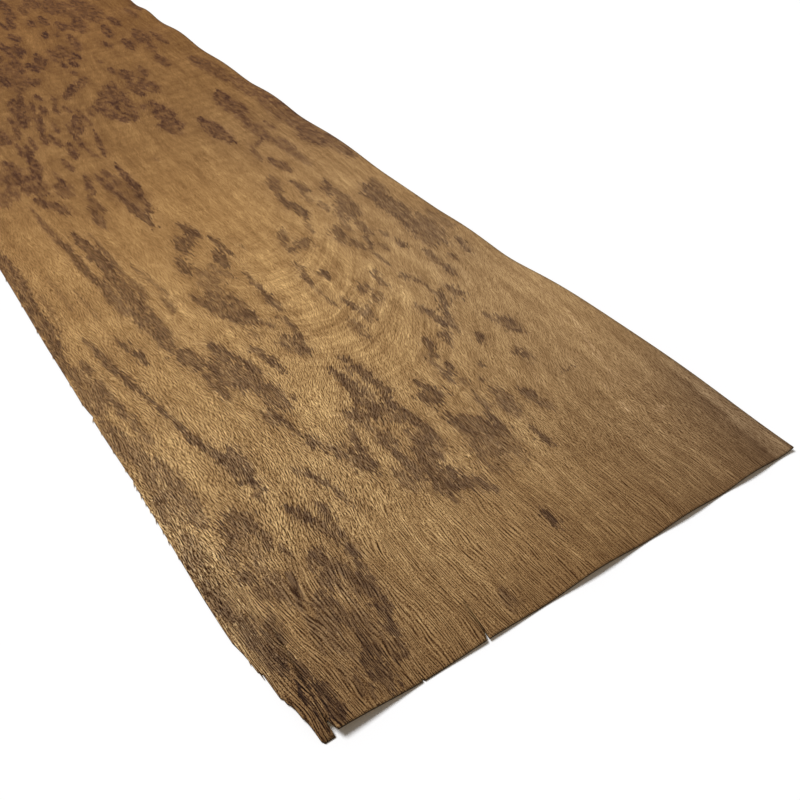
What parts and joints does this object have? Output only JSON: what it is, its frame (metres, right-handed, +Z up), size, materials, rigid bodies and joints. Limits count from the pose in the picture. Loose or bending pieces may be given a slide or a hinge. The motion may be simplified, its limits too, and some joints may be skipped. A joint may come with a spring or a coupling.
{
  "type": "wood veneer sheet",
  "caption": "Thin leaf of sliced wood veneer with straight cut ends, one sawn and one torn edge, cockled edges and splits at the front cut.",
  "frame": {"origin": "middle of the sheet's outline in plan, on the plane that its flat underside lies on", "axes": "+X across the sheet towards the sawn right edge, +Y along the sheet and its grain away from the split front cut, +Z up out of the face that shows"},
  "size_m": [0.2084, 0.915, 0.0048],
  "materials": {
    "veneer": "raw, sliced and unsanded, matt brown with darker mottling"
  },
  "bodies": {
    "root": {"veneer_sheet": "veneer"}
  },
  "joints": []
}
